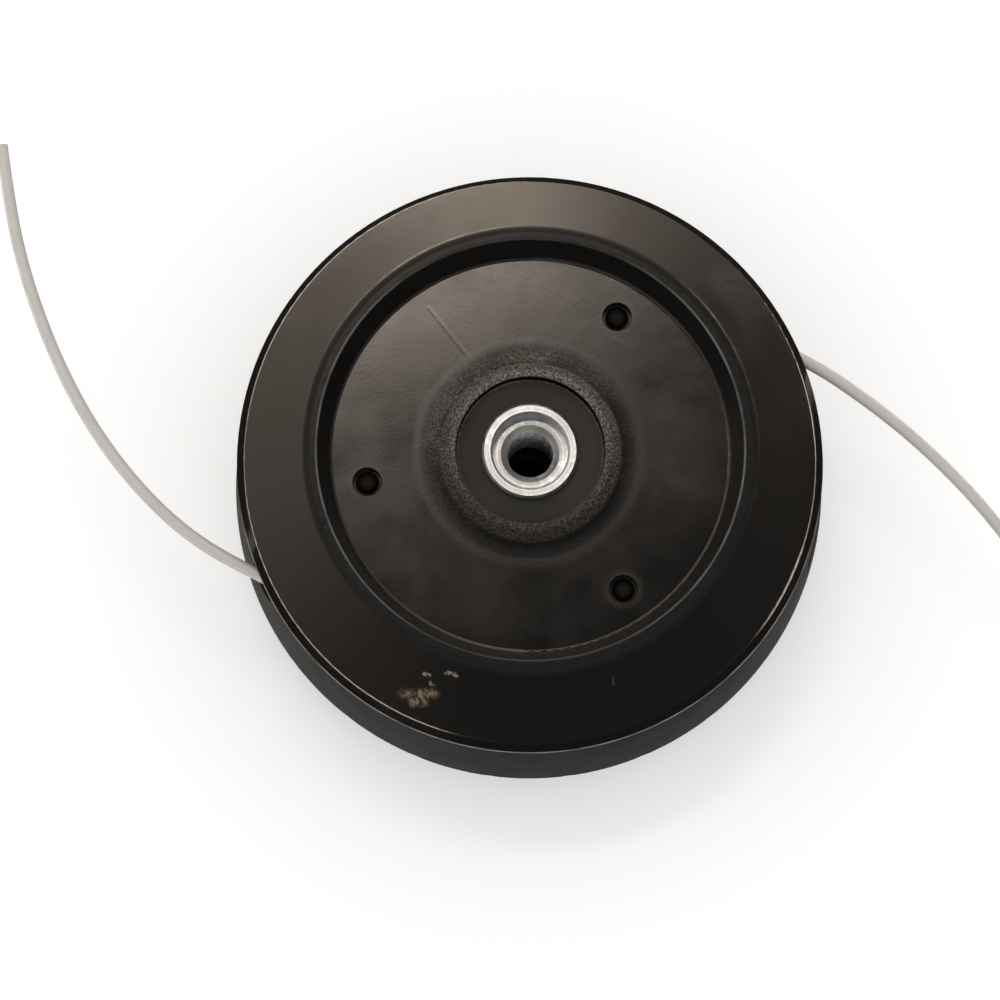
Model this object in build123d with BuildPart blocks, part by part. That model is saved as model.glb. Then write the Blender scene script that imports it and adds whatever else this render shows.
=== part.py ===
# Bump-feed trimmer head: stands on its knob, spindle axis along +Z, millimetres
import os
from math import floor, hypot, radians, tan

from build123d import *

os.makedirs("parts", exist_ok=True)

# Outer form of the housing
rim_radius = 57.5
rim_ledge = 0.4  # rim over the top of the skirt
rim_corner_fillet = 0.2
rim_flare = 1.7  # rim band, from its top edge to its lower corner
rim_edge_fillet = 2.0
shoulder_rise = 3.3  # top of the rim band above its lower corner
crown_height = 11.4
crown_run = 12.7  # conical crown, from the rim band in to the lip
lip_width = 2.0
dish_depth = 6.6
dish_slope = 2.2
skirt_length = 27.0
skirt_draft = 2.4  # the skirt opens by this much towards its lower edge
wall = 3.0
roof = 3.0
crown_wall = 3.4  # between the dish and the hollow crown
lip_fillet = 0.5
lip_outer_fillet = 1.6
edge_fillet = 0.4  # small moulded edges
inside_fillet = 0.8  # small inside corners
cut_margin = 2.0  # cutters reach this far past a wall

# Hub in the middle of the dish
collar_height = 4.3
collar_slope = 3.2
collar_rim = 1.4
collar_fillet = 1.2
collar_foot_fillet = 3.0
pocket_width = 5.1  # between insert and collar
pocket_depth = 2.6

# Gate dimples left by the mould in the dish
gate_inset = 6.9  # from the dish wall's foot
gate_angles = (58, 190, 304)
gate_radius = 2.7
gate_depth = 1.6
gate_nub_radius = 1.6
gate_nub_drop = 0.7

# Threaded insert
insert_radius = 9.3
insert_proud = 1.6  # above the pocket's floor
insert_length = 20.0
insert_band = 4.0  # each of its three full-size bands
insert_groove = 4.0  # each of the two grooves that hold it in the plastic
insert_groove_depth = 1.7
insert_face_bevel = 0.4
pilot_radius = 7.3
pilot_depth = 3.4
thread_radius = 4.4
thread_mouth_radius = 5.7
thread_chamfer = 1.2

# Hub post inside the housing
post_radius = 13.5
post_wall = 3.0
shoulder = 1.4  # web between insert and spring
shoulder_hole_radius = 6.0
slider_boss = 2.0  # step over the slider, round the post

# Cutting line, its eyelets and the holes for them
line_diameter = 2.4
eyelet_angle = 24.0
eyelet_drop = 4.6  # below the rim's lower corner
eyelet_radius = 4.2
eyelet_throat_radius = 3.15
eyelet_mouth_radius = 3.95
eyelet_inset = 0.5  # below the skirt's face

# Bottom cover
cover_depth = 9.5
cover_skin = 2.5
cover_edge = 1.6  # upright edge under the skirt
cover_taper = 7.2  # the cover narrows by this much to its underside
cover_well_inset = 0.6  # flat inside, narrower than the underside
cover_corner_fillet = 6.0
cover_edge_fillet = 1.5
cover_seat_height = 5.7  # ring round the knob, above the cover's underside
cover_seat_width = 2.6
locating_ring_width = 2.3
locating_ring_height = 4.0
latch_angles = (169, 349)
latch_width = 14.0
latch_arm = 2.0
latch_hook_z = 9.0  # above the skirt's lower edge
latch_hook_height = 3.2
latch_tip = 2.0  # arm above its hook
latch_hook_reach = 2.6
grip_grooves = 24
grip_radius = 2.6
grip_depth = 0.9

# Spool
bump_travel = 6.5
spool_room = 3.1  # between spool and skirt, where the line leaves
spool_outer_flange = 1.8
spool_middle_flange = 1.6
spool_headroom = 2.5  # over the top flange when the knob is pushed in
drum_radius = 30.0
drum_wall = 3.0
web = 3.0
web_height = 12.5  # web over the spool's lower face
guide_wall = 3.1
snap_bead = 1.2
snap_bead_height = 3.0  # bead over the spool's lower face
winding_depth = 14.0
line_notch_width = 3.2
line_notch_depth = 5.0
line_notches = 4

# Stop teeth inside the drum and the slider that catches them
teeth = 8
tooth_reach = 3.0
tooth_width = 3.4
tooth_margin = 0.5  # tooth beyond the slider, above and below
ring_cover = 1.0  # drum above the slider
roof_clearance = 1.1  # drum below the roof when the knob is pushed in
slider_angle = 90
slider_travel = 3.0
slider_thickness = 3.0
slider_end = 6.0  # slider beyond its opening, at its ends
slider_rail = 2.7  # and at its sides
slider_nose_width = 4.0
slider_nose_gap = 1.4  # nose short of the teeth when it is in
guide_rib = 2.5
guide_rib_length = 20.0
clip_thickness = 1.2
clip_groove = 1.0
clip_width = 4.0
clip_opening = 9.0

# Knob, spring and washer
knob_drop = 9.5  # knob below the cover
knob_shoulder = 1.7  # knob under the spool, beyond the drum's well
knob_flat_radius = 20.0
knob_flat_fillet = 3.0
knob_side_fillet = 2.0
knob_side_height = 4.0  # upright side starts this high
knob_floor = 4.0
knob_wall = 3.6
knob_flutes = 8
flute_radius = 6.0
flute_depth = 1.7
spigot_wall = 2.5
spigot_rise = 0.5  # spigot above the spool's lower face
snap_leg = 1.8
snap_leg_height = 7.5
snap_slot = 12.0
washer_margin = 0.5  # washer beyond the spigot
washer_hole_radius = 5.5
washer_thickness = 1.2
seat_washer_thickness = 1.0
spring_wire = 1.8
spring_turns = 4.5

# Clearances
running_gap = 0.3  # sliding faces
seat_gap = 0.3  # spool over the cover
guide_gap = 0.4  # spool round the hub post
knob_gap = 0.8  # knob in the cover's hole
cover_gap = 0.3  # cover's ring and arms in the skirt
latch_gap = 0.4  # hook in its window
winding_gap = 0.2  # wound line beside the flanges
washer_gap = 0.5  # washer in the hub post
spring_gap = 1.0  # spring in the hub post

# Heights worked out from the ground up
cover_z = knob_drop
skirt_z = cover_z + cover_depth
rim_z = skirt_z + skirt_length
shoulder_top_z = rim_z + shoulder_rise
lip_z = shoulder_top_z + crown_height
dish_z = lip_z - dish_depth
collar_z = dish_z + collar_height
pocket_z = collar_z - pocket_depth
insert_z = pocket_z + insert_proud
insert_bottom_z = insert_z - insert_length
shoulder_z = insert_bottom_z - shoulder
roof_z = dish_z - roof
shoulder_roof_z = shoulder_top_z - roof
eyelet_z = rim_z - eyelet_drop
spool_z = cover_z + cover_seat_height + seat_gap
spool_top_z = shoulder_roof_z - bump_travel - spool_headroom
chamber = (spool_top_z - spool_z - 2 * spool_outer_flange - spool_middle_flange) / 2
drum_top_z = roof_z - bump_travel - roof_clearance
slider_top_z = drum_top_z - ring_cover
slider_z = slider_top_z - slider_thickness
clip_z = slider_z - running_gap - clip_thickness
spigot_z = spool_z + spigot_rise
washer_top_z = spigot_z + washer_thickness
post_z = spigot_z + bump_travel - spigot_rise

# Radii worked out from those they fit
skirt_top_radius = rim_radius - rim_ledge
skirt_bottom_radius = skirt_top_radius + skirt_draft
skirt_bore = skirt_top_radius - wall
skirt_mouth = skirt_bottom_radius - wall
shoulder_radius = rim_radius - rim_flare
lip_radius = shoulder_radius - crown_run
dish_floor_radius = lip_radius - lip_width - dish_slope
crown_bore = dish_floor_radius + crown_wall
crown_core_z = shoulder_roof_z + (skirt_bore - crown_bore) * crown_height / crown_run
gate_circle = dish_floor_radius - gate_inset
pocket_radius = insert_radius + pocket_width
collar_top_radius = pocket_radius + collar_rim
collar_foot_radius = collar_top_radius + collar_slope
spool_radius = skirt_bore - spool_room
well_radius = drum_radius - drum_wall
winding_radius = drum_radius + winding_depth
tooth_radius = well_radius - tooth_reach
knob_radius = well_radius + knob_shoulder
cover_hole_radius = knob_radius + knob_gap
cover_floor_radius = skirt_bottom_radius - cover_taper
cover_well_radius = cover_floor_radius - cover_well_inset
post_bore_radius = post_radius - post_wall
slider_boss_radius = post_radius + slider_boss
slider_opening = post_radius + running_gap
slider_radius = slider_opening + slider_end
slider_half_width = slider_opening + slider_rail
washer_radius = post_bore_radius - washer_gap
spigot_radius = washer_radius - washer_margin
spring_radius = post_bore_radius - spring_gap - spring_wire / 2


# Plane on the wall that faces outwards, x along the rim and y up
def wall_plane(angle, radius, height):
    out = Vector(1, 0, 0).rotate(Axis.Z, angle)
    return Plane(out * radius + Vector(0, 0, height), x_dir=out.rotate(Axis.Z, 90), z_dir=out)


# Plane through a wall hole's axis, x up from the axis and y outwards
def hole_section(angle, radius, height):
    out = Vector(1, 0, 0).rotate(Axis.Z, angle)
    return Plane(out * radius + Vector(0, 0, height), x_dir=(0, 0, 1), z_dir=out.rotate(Axis.Z, 90))


# Closed outline from corners given as (point, fillet)
def soft_outline(corners):
    return FilletPolyline(*[point for point, _ in corners], radius=[r for _, r in corners], close=True)


# Outside of the insert, from its lower end up: full bands with two grooves between them
def insert_steps(top):
    groove_radius = insert_radius - insert_groove_depth
    first = insert_bottom_z + insert_band
    second = first + insert_groove
    third = second + insert_band
    fourth = third + insert_groove
    return [
        (insert_radius, insert_bottom_z),
        (insert_radius, first),
        (groove_radius, first),
        (groove_radius, second),
        (insert_radius, second),
        (insert_radius, third),
        (groove_radius, third),
        (groove_radius, fourth),
        (insert_radius, fourth),
        (insert_radius, top),
    ]


# Upper housing: conical crown, dish, rim and skirt round a hollow, with the hub post in the middle
slider_plane = Plane.XY.rotated((0, 0, slider_angle))
with BuildPart() as upper_housing:
    with BuildSketch(Plane.XZ):
        with BuildLine():
            soft_outline(
                [
                    ((pocket_radius, pocket_z), edge_fillet),
                    ((pocket_radius, collar_z), edge_fillet),
                    ((collar_top_radius, collar_z), collar_fillet),
                    ((collar_foot_radius, dish_z), collar_foot_fillet),
                    ((dish_floor_radius, dish_z), inside_fillet),
                    ((lip_radius - lip_width, lip_z), lip_fillet),
                    ((lip_radius, lip_z), lip_outer_fillet),
                    ((shoulder_radius, shoulder_top_z), rim_edge_fillet),
                    ((rim_radius, rim_z), rim_corner_fillet),
                    ((skirt_top_radius, rim_z), 0),
                    ((skirt_bottom_radius, skirt_z), edge_fillet),
                    ((skirt_mouth, skirt_z), 0),
                    ((skirt_bore, shoulder_roof_z), inside_fillet),
                    ((crown_bore, crown_core_z), inside_fillet),
                    ((crown_bore, roof_z), edge_fillet),
                    ((slider_boss_radius, roof_z), inside_fillet),
                    ((slider_boss_radius, slider_top_z + running_gap), 0),
                    ((post_radius, slider_top_z + running_gap), 0),
                    ((post_radius, clip_z + clip_thickness), 0),
                    ((post_radius - clip_groove, clip_z + clip_thickness), 0),
                    ((post_radius - clip_groove, clip_z), 0),
                    ((post_radius, clip_z), 0),
                    ((post_radius, post_z), edge_fillet),
                    ((post_bore_radius, post_z), edge_fillet),
                    ((post_bore_radius, shoulder_z), 0),
                    ((shoulder_hole_radius, shoulder_z), 0),
                    ((shoulder_hole_radius, insert_bottom_z), 0),
                ]
                + [(point, 0) for point in insert_steps(pocket_z)]
            )
        make_face()
    revolve()
    # Gate dimples, each a ring groove round a lower nub
    for angle in gate_angles:
        with BuildSketch(Plane.XY.offset(dish_z)):
            with PolarLocations(gate_circle, 1, angle):
                Circle(gate_radius)
                Circle(gate_nub_radius, mode=Mode.SUBTRACT)
        extrude(amount=-gate_depth, mode=Mode.SUBTRACT)
        with BuildSketch(Plane.XY.offset(dish_z)):
            with PolarLocations(gate_circle, 1, angle):
                Circle(gate_nub_radius)
        extrude(amount=-gate_nub_drop, mode=Mode.SUBTRACT)
    # Holes for the eyelets
    for angle in (eyelet_angle, eyelet_angle + 180):
        with BuildSketch(wall_plane(angle, skirt_bore - cut_margin, eyelet_z)):
            Circle(eyelet_radius)
        extrude(amount=wall + 2 * cut_margin, mode=Mode.SUBTRACT)
    # Windows for the cover's hooks
    window_width = latch_width + 2 * latch_gap
    window_height = latch_hook_height + 2 * latch_gap
    window_z = skirt_z + latch_hook_z + latch_hook_height / 2
    for angle in latch_angles:
        with BuildSketch(wall_plane(angle, skirt_bore - cut_margin, window_z)):
            RectangleRounded(window_width, window_height, edge_fillet)
        extrude(amount=wall + skirt_draft + 2 * cut_margin, mode=Mode.SUBTRACT)
    # Ribs that guide the slider, hanging from the roof
    with BuildSketch(slider_plane.offset(roof_z)):
        rib_place = slider_half_width + running_gap + guide_rib / 2
        with Locations((0, rib_place), (0, -rib_place)):
            Rectangle(guide_rib_length, guide_rib)
    extrude(amount=slider_z - roof_z)
upper_housing.part.label = "upper_housing"
export_step(upper_housing.part, "parts/upper_housing.step")

# Turned insert: pilot recess, chamfered thread and two grooves outside
with BuildPart() as threaded_insert:
    with BuildSketch(Plane.XZ):
        with BuildLine():
            Polyline(
                (thread_radius, insert_bottom_z),
                *insert_steps(insert_z - insert_face_bevel),
                (insert_radius - insert_face_bevel, insert_z),
                (pilot_radius + insert_face_bevel, insert_z),
                (pilot_radius, insert_z - insert_face_bevel),
                (pilot_radius, insert_z - pilot_depth),
                (thread_mouth_radius, insert_z - pilot_depth),
                (thread_radius, insert_z - pilot_depth - thread_chamfer),
                close=True,
            )
        make_face()
    revolve()
threaded_insert.part.label = "threaded_insert"
export_step(threaded_insert.part, "parts/threaded_insert.step")

# Eyelets: rings with a rounded throat, pressed into the skirt
eyelet_middle = skirt_top_radius + skirt_draft * eyelet_drop / skirt_length - wall / 2 - eyelet_inset
for side, angle in (("right", eyelet_angle), ("left", eyelet_angle + 180)):
    section = hole_section(angle, eyelet_middle, eyelet_z)
    with BuildPart() as line_eyelet:
        with BuildSketch(section):
            with BuildLine():
                ThreePointArc(
                    (eyelet_mouth_radius, -wall / 2),
                    (eyelet_throat_radius, 0),
                    (eyelet_mouth_radius, wall / 2),
                )
                Polyline(
                    (eyelet_mouth_radius, wall / 2),
                    (eyelet_radius, wall / 2),
                    (eyelet_radius, -wall / 2),
                    (eyelet_mouth_radius, -wall / 2),
                )
            make_face()
        revolve(axis=Axis(section.origin, section.y_dir))
    line_eyelet.part.label = f"line_eyelet_{side}"
    export_step(line_eyelet.part, f"parts/line_eyelet_{side}.step")

# Bottom cover: tapered dish with a ring round the knob, a locating ring and two latch arms
seat_outer_radius = cover_hole_radius + cover_seat_width
ring_radius = skirt_mouth - cover_gap
ring_top_z = skirt_z + locating_ring_height
ring_draft = skirt_draft * locating_ring_height / skirt_length + cover_gap
hook_z = skirt_z + latch_hook_z
arm_top_z = hook_z + latch_hook_height + latch_tip
arm_radius = skirt_bore + skirt_draft * (rim_z - arm_top_z) / skirt_length - cover_gap
with BuildPart() as bottom_cover:
    with BuildSketch(Plane.XZ):
        with BuildLine():
            soft_outline(
                [
                    ((cover_hole_radius, cover_z), inside_fillet),
                    ((cover_hole_radius, cover_z + cover_seat_height), edge_fillet),
                    ((seat_outer_radius, cover_z + cover_seat_height), edge_fillet),
                    ((seat_outer_radius, cover_z + cover_skin), inside_fillet),
                    ((cover_well_radius, cover_z + cover_skin), cover_corner_fillet - cover_skin),
                    ((ring_radius - locating_ring_width, skirt_z - cover_edge), inside_fillet),
                    ((ring_radius - locating_ring_width, ring_top_z), edge_fillet),
                    ((ring_radius - ring_draft, ring_top_z), edge_fillet),
                    ((ring_radius, skirt_z), 0),
                    ((skirt_bottom_radius, skirt_z), edge_fillet),
                    ((skirt_bottom_radius, skirt_z - cover_edge), cover_edge_fillet),
                    ((cover_floor_radius, cover_z), cover_corner_fillet),
                ]
            )
        make_face()
    revolve()
    for angle in latch_angles:
        arm_z = skirt_z + locating_ring_height / 2
        with BuildSketch(Plane.XY.offset(arm_z)):
            Circle(arm_radius)
            Circle(arm_radius - latch_arm, mode=Mode.SUBTRACT)
            with PolarLocations(arm_radius, 1, angle):
                Rectangle(4 * latch_arm, latch_width, mode=Mode.INTERSECT)
        extrude(amount=arm_top_z - arm_z)
        with BuildSketch(Plane.XY.offset(hook_z)):
            Circle(arm_radius + latch_hook_reach)
            Circle(arm_radius - latch_arm / 2, mode=Mode.SUBTRACT)
            with PolarLocations(arm_radius, 1, angle):
                Rectangle(4 * latch_hook_reach, latch_width, mode=Mode.INTERSECT)
        extrude(amount=latch_hook_height)
    # Grip grooves down the taper, square to its slope
    taper_run = cover_taper
    taper_fall = cover_depth - cover_edge
    taper_length = hypot(taper_run, taper_fall)
    taper_middle = skirt_bottom_radius - taper_run / 2
    for groove in range(grip_grooves):
        out = Vector(1, 0, 0).rotate(Axis.Z, 360 / grip_grooves * (groove + 0.5))
        slope = (out * taper_run + Vector(0, 0, taper_fall)) / taper_length
        face = (out * taper_fall - Vector(0, 0, taper_run)) / taper_length
        start = out * taper_middle + Vector(0, 0, cover_z + taper_fall / 2) - slope * taper_length
        with BuildSketch(Plane(start + face * (grip_radius - grip_depth), z_dir=slope)):
            Circle(grip_radius)
        extrude(amount=2 * taper_length, mode=Mode.SUBTRACT)
bottom_cover.part.label = "bottom_cover"
export_step(bottom_cover.part, "parts/bottom_cover.step")

# Spool: drum with three flanges, a guide tube on the hub post and two rows of stop teeth
lower_chamber_z = spool_z + spool_outer_flange
middle_z = lower_chamber_z + chamber
upper_chamber_z = middle_z + spool_middle_flange
top_flange_z = upper_chamber_z + chamber
guide_radius = post_radius + guide_gap
pitch = 360 / teeth
with BuildPart() as spool:
    with BuildSketch(Plane.XZ):
        with BuildLine():
            Polyline(
                (guide_radius, spool_z),
                (guide_radius, spool_z + web_height + web),
                (well_radius, spool_z + web_height + web),
                (well_radius, drum_top_z),
                (drum_radius, drum_top_z),
                (drum_radius, spool_top_z),
                (spool_radius, spool_top_z),
                (spool_radius, top_flange_z),
                (drum_radius, top_flange_z),
                (drum_radius, upper_chamber_z),
                (spool_radius, upper_chamber_z),
                (spool_radius, middle_z),
                (drum_radius, middle_z),
                (drum_radius, lower_chamber_z),
                (spool_radius, lower_chamber_z),
                (spool_radius, spool_z),
                (well_radius, spool_z),
                (well_radius, spool_z + snap_bead_height),
                (well_radius - snap_bead, spool_z + snap_bead_height + snap_bead / 2),
                (well_radius, spool_z + snap_bead_height + snap_bead),
                (well_radius, spool_z + web_height),
                (guide_radius + guide_wall, spool_z + web_height),
                (guide_radius + guide_wall, spool_z),
                close=True,
            )
        make_face()
    revolve()
    # The upper row stands a quarter pitch before the slider, the lower row a quarter pitch after
    upper_row_z = slider_z - tooth_margin
    tooth_length = tooth_reach + drum_wall / 2
    for row_z, phase in ((upper_row_z, -pitch / 4), (upper_row_z - bump_travel, pitch / 4)):
        with BuildSketch(Plane.XY.offset(row_z)):
            with PolarLocations(tooth_radius + tooth_length / 2, teeth, slider_angle + phase):
                Rectangle(tooth_length, tooth_width)
        extrude(amount=slider_thickness + 2 * tooth_margin)
    # Notches in the flanges that hold the line while it is wound
    with BuildSketch(Plane.XY.offset(spool_z)):
        with PolarLocations(spool_radius, line_notches, pitch / 2):
            SlotOverall(2 * line_notch_depth, line_notch_width)
    extrude(amount=spool_top_z - spool_z, mode=Mode.SUBTRACT)
spool.part.label = "spool"
export_step(spool.part, "parts/spool.step")

# Wound line: one ring in each chamber with a row of turns on its outside
turns = floor((chamber - 2 * winding_gap) / line_diameter)
for name, chamber_z in (("upper", upper_chamber_z), ("lower", lower_chamber_z)):
    low = chamber_z + winding_gap
    high = chamber_z + chamber - winding_gap
    turn_height = (high - low) / turns
    core_radius = winding_radius - line_diameter / 2
    with BuildPart() as line_winding:
        with BuildSketch(Plane.XZ):
            with BuildLine():
                Polyline((core_radius, low), (drum_radius, low), (drum_radius, high), (core_radius, high))
                for turn in range(turns):
                    base = low + turn * turn_height
                    ThreePointArc(
                        (core_radius, base),
                        (winding_radius, base + turn_height / 2),
                        (core_radius, base + turn_height),
                    )
            make_face()
        revolve()
    line_winding.part.label = f"line_winding_{name}"
    export_step(line_winding.part, f"parts/line_winding_{name}.step")

# Knob: domed cup with finger flutes, a spigot for the spring and four snap legs in the drum
leg_radius = well_radius - snap_bead - running_gap
hook_base_z = spool_z + snap_bead_height + snap_bead + running_gap
leg_top_z = spool_z + snap_leg_height
with BuildPart() as bump_knob:
    with BuildSketch(Plane.XZ):
        with BuildLine():
            soft_outline(
                [
                    ((0, 0), 0),
                    ((knob_flat_radius, 0), knob_flat_fillet),
                    ((knob_radius, knob_side_height), knob_side_fillet),
                    ((knob_radius, spool_z), edge_fillet),
                    ((leg_radius, spool_z), 0),
                    ((leg_radius, hook_base_z), 0),
                    ((well_radius - running_gap, hook_base_z), 0),
                    ((leg_radius, leg_top_z), 0),
                    ((leg_radius - snap_leg, leg_top_z), 0),
                    ((knob_radius - knob_wall - snap_leg, knob_floor), inside_fillet),
                    ((spigot_radius, knob_floor), inside_fillet),
                    ((spigot_radius, spigot_z), edge_fillet),
                    ((spigot_radius - spigot_wall, spigot_z), 0),
                    ((spigot_radius - spigot_wall, knob_floor), 0),
                    ((0, knob_floor), 0),
                ]
            )
        make_face()
    revolve()
    with BuildSketch(Plane.XY):
        with PolarLocations(knob_radius + flute_radius - flute_depth, knob_flutes):
            Circle(flute_radius)
    extrude(amount=knob_drop, mode=Mode.SUBTRACT)
    with BuildSketch(Plane.XY.offset(spool_z)):
        Rectangle(2 * knob_radius, snap_slot)
        Rectangle(snap_slot, 2 * knob_radius)
        Circle(spigot_radius + spigot_wall, mode=Mode.SUBTRACT)
    extrude(amount=snap_leg_height, mode=Mode.SUBTRACT)
bump_knob.part.label = "bump_knob"
export_step(bump_knob.part, "parts/bump_knob.step")

# Washers under and over the spring: one on the knob's spigot, one against the shoulder in the post
spring_top_z = shoulder_z - seat_washer_thickness
for name, height, thickness, hole in (
    ("spring_washer", spigot_z, washer_thickness, washer_hole_radius),
    ("spring_seat_washer", spring_top_z, seat_washer_thickness, shoulder_hole_radius),
):
    with BuildPart() as washer:
        with BuildSketch(Plane.XY.offset(height)):
            Circle(washer_radius)
            Circle(hole, mode=Mode.SUBTRACT)
        extrude(amount=thickness)
    washer.part.label = name
    export_step(washer.part, f"parts/{name}.step")

# Compression spring between the two washers
spring_height = spring_top_z - washer_top_z - spring_wire
spring_start_z = washer_top_z + spring_wire / 2
with BuildPart() as bump_spring:
    with BuildLine() as coil:
        Helix(spring_height / spring_turns, spring_height, spring_radius, (0, 0, spring_start_z))
    with BuildSketch(Plane(coil.line @ 0, z_dir=coil.line % 0)):
        Circle(spring_wire / 2)
    sweep(is_frenet=True)
bump_spring.part.label = "bump_spring"
export_step(bump_spring.part, "parts/bump_spring.step")

# Slider: flat ring round the post, with a nose that reaches between the stop teeth
with BuildPart() as feed_slider:
    with BuildSketch(slider_plane.offset(slider_z)):
        Circle(slider_radius)
        Rectangle(2 * slider_radius, 2 * slider_half_width, mode=Mode.INTERSECT)
        with Locations(((tooth_radius - slider_nose_gap) / 2, 0)):
            Rectangle(tooth_radius - slider_nose_gap, slider_nose_width)
        Circle(slider_opening, mode=Mode.SUBTRACT)
        with Locations((-slider_travel, 0)):
            Circle(slider_opening, mode=Mode.SUBTRACT)
        with Locations((-slider_travel / 2, 0)):
            Rectangle(slider_travel, 2 * slider_opening, mode=Mode.SUBTRACT)
    extrude(amount=slider_thickness)
feed_slider.part.label = "feed_slider"
export_step(feed_slider.part, "parts/feed_slider.step")

# Retaining ring under the slider, in the post's groove
with BuildPart() as slider_clip:
    with BuildSketch(slider_plane.offset(clip_z)):
        Circle(post_radius - clip_groove + clip_width)
        Circle(post_radius - clip_groove, mode=Mode.SUBTRACT)
        with Locations((-post_radius, 0)):
            Rectangle(2 * clip_width, clip_opening, mode=Mode.SUBTRACT)
    extrude(amount=clip_thickness)
slider_clip.part.label = "slider_clip"
export_step(slider_clip.part, "parts/slider_clip.step")

# Cutting lines: routes from inside the eyelets to their cut ends
left_route = [
    (-47.9, -24.3),
    (-56.1, -20.5),
    (-65.8, -14.8),
    (-74.1, -7.6),
    (-82.3, 1.9),
    (-89.4, 12.8),
    (-95.4, 25.2),
    (-100.3, 38.5),
    (-103.7, 52.3),
    (-105.6, 65.2),
]
right_route = [
    (47.9, 24.3),
    (56.1, 20.5),
    (66.0, 13.6),
    (74.7, 6.6),
    (82.9, -1.3),
    (90.4, -9.8),
    (97.0, -18.9),
    (102.8, -28.7),
    (107.6, -38.9),
    (111.3, -49.6),
    (114.1, -60.5),
]
for side, route in (("left", left_route), ("right", right_route)):
    points = [Vector(x, y, eyelet_z) for x, y in route]
    radii = []
    for before, corner, after in zip(points, points[1:], points[2:]):
        run_in = corner - before
        run_out = after - corner
        half_turn = radians(run_in.get_angle(run_out)) / 2
        radii.append(0.45 * min(run_in.length, run_out.length) / tan(half_turn))
    with BuildPart() as cutting_line:
        with BuildLine() as path:
            FilletPolyline(*points, radius=radii)
        with BuildSketch(Plane(path.line @ 0, z_dir=path.line % 0)):
            Circle(line_diameter / 2)
        sweep()
    cutting_line.part.label = f"line_{side}"
    export_step(cutting_line.part, f"parts/line_{side}.step")
    length = path.wire().length
    section_area = Circle(line_diameter / 2, mode=Mode.PRIVATE).area
    print(f"line_{side}: length {length:.1f}, volume {cutting_line.part.volume:.1f}")
    print(f"line_{side}: section times length {section_area * length:.1f}")
    print(f"line_{side}: radii", [round(r, 1) for r in radii])
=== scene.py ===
import math

import bmesh
import bpy
from mathutils import Matrix, Vector


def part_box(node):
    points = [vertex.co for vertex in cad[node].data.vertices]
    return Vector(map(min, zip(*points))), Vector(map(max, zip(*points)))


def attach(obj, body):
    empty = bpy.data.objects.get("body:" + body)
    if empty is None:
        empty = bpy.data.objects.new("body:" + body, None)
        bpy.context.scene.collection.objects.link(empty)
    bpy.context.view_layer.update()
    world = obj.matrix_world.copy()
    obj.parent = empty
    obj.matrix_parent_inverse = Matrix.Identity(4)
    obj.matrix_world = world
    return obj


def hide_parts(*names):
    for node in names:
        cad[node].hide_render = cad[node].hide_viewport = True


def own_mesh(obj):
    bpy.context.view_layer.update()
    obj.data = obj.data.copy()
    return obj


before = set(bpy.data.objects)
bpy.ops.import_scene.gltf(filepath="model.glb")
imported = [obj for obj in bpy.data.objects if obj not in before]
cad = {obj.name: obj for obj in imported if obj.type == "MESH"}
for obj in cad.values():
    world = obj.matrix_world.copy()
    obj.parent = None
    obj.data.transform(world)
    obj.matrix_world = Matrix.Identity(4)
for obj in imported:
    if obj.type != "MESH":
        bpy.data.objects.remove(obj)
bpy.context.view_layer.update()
scene = bpy.context.scene
scene.view_settings.view_transform = "Standard"
mm = 0.001
print("frame loaded:", len(cad), "nodes")


# Stage: pale floor, white surround, a dark card over the head and one soft lamp
stageLook = {
    "floorSize": 5.0,
    "floorColour": (0.93, 0.93, 0.925, 1),
    "floorLift": 0.27,
    "surround": 0.8,  # what lights the object from all round
    "middle": (0, 0, 0.05),
    "cameraPlace": (-5.838, -129.007, 734.052),
    "cameraAim": (-5.838, -7.453, 44.686),
    "lens": 128.7,
}

# turn is round the spindle axis from +X, tilt is away from straight up,
# sizes are across and along the tilt
lamps = {
    "windowLamp": {
        "turn": 108,
        "tilt": 16.4,
        "away": 1.3,
        "size": (0.38, 0.092),
        "power": 1.8,
        "colour": (1, 0.84, 0.7),
    },
}

# keeps the white surround out of the flat faces
shadeCard = {"turn": 113, "tilt": -3.0, "away": 1.25, "size": (0.95, 0.76), "grey": 0.02}

# glow seen only in the gloss, as (turn, strength):
# a window behind, a pale room at the left, sheets on the table
glowLook = {
    "steps": 144,
    "horizon": (
        (0, 0.17), (45, 0.3), (70, 1.4), (90, 3.1), (112, 2.35), (135, 1.4), (180, 1.1),
        (225, 0.33), (250, 0.15), (270, 0.11), (315, 0.12), (360, 0.17),
    ),
    "sheet": (
        (0, 8.8), (48, 11.4), (54, 0.5), (70, 0.8), (90, 3.3), (110, 9.2),
        (248, 9.4), (253, 0.2), (330, 0.2), (336, 8.2), (360, 8.8),
    ),
    "above": (
        (0, 0.25), (45, 0.38), (70, 1.36), (90, 2.56), (135, 1.5), (180, 1.1),
        (225, 0.56), (270, 0.52), (315, 0.4), (360, 0.25),
    ),
    "table": 0.03,
    "lift": 0.0003,  # just above the floor
    "tableReach": (0.08, 0.18),
    "sheetReach": (0.2, 0.34),
    "height": 0.17,
    "tint": (1, 0.84, 0.69),
}


def standAt(item, look):
    tilt, turn = math.radians(look["tilt"]), math.radians(look["turn"])
    level = Vector((math.cos(turn), math.sin(turn), 0))
    out = level * math.sin(tilt) + Vector((0, 0, math.cos(tilt)))
    across = Vector((-math.sin(turn), math.cos(turn), 0))
    along = out.cross(across)
    item.location = Vector(stageLook["middle"]) + out * look["away"]
    item.matrix_world = turnOf(across, along, out, item.location)
    scene.collection.objects.link(item)


def turnOf(across, along, out, place):
    made = Matrix((across, along, out)).transposed().to_4x4()
    made.translation = place
    return made


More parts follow.
